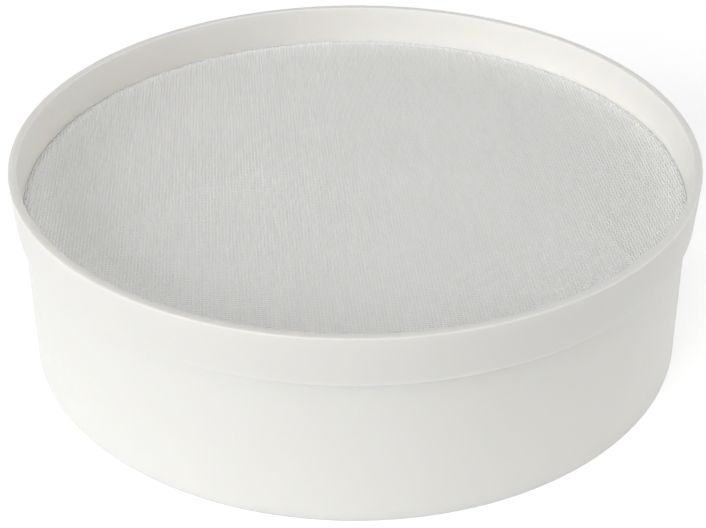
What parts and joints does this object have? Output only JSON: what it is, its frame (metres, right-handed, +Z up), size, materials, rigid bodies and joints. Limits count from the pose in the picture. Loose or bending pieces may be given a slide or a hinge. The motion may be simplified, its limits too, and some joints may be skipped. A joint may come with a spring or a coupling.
{
  "type": "flour sieve",
  "caption": "Round hand sieve for flour: a deep open drum with fine mesh stretched over one end, gripped by a wider push-on hoop that makes a shallow tray.",
  "frame": {"origin": "middle of the face that the drum stands on, with the hoop and its shallow tray upwards as in the picture", "axes": "+Z up along the sieve's own axis; the lengthwise threads of the cloth run near +Y, turned 6 degrees towards -X"},
  "size_m": [0.21, 0.21, 0.0625],
  "materials": {
    "plastic": "satin",
    "cloth": "matte"
  },
  "bodies": {
    "drum": {"drum": "plastic"},
    "cloth": {"sieve_cloth": "cloth"},
    "hoop": {"hoop": "plastic"}
  },
  "joints": [
    {"name": "cloth_lift", "type": "slide", "parent": "drum", "child": "cloth", "axis": [0, 0, 1], "range_m": [0, 0.03]},
    {"name": "hoop_lift", "type": "slide", "parent": "cloth", "child": "hoop", "axis": [0, 0, 1], "range_m": [0, 0.03]}
  ]
}
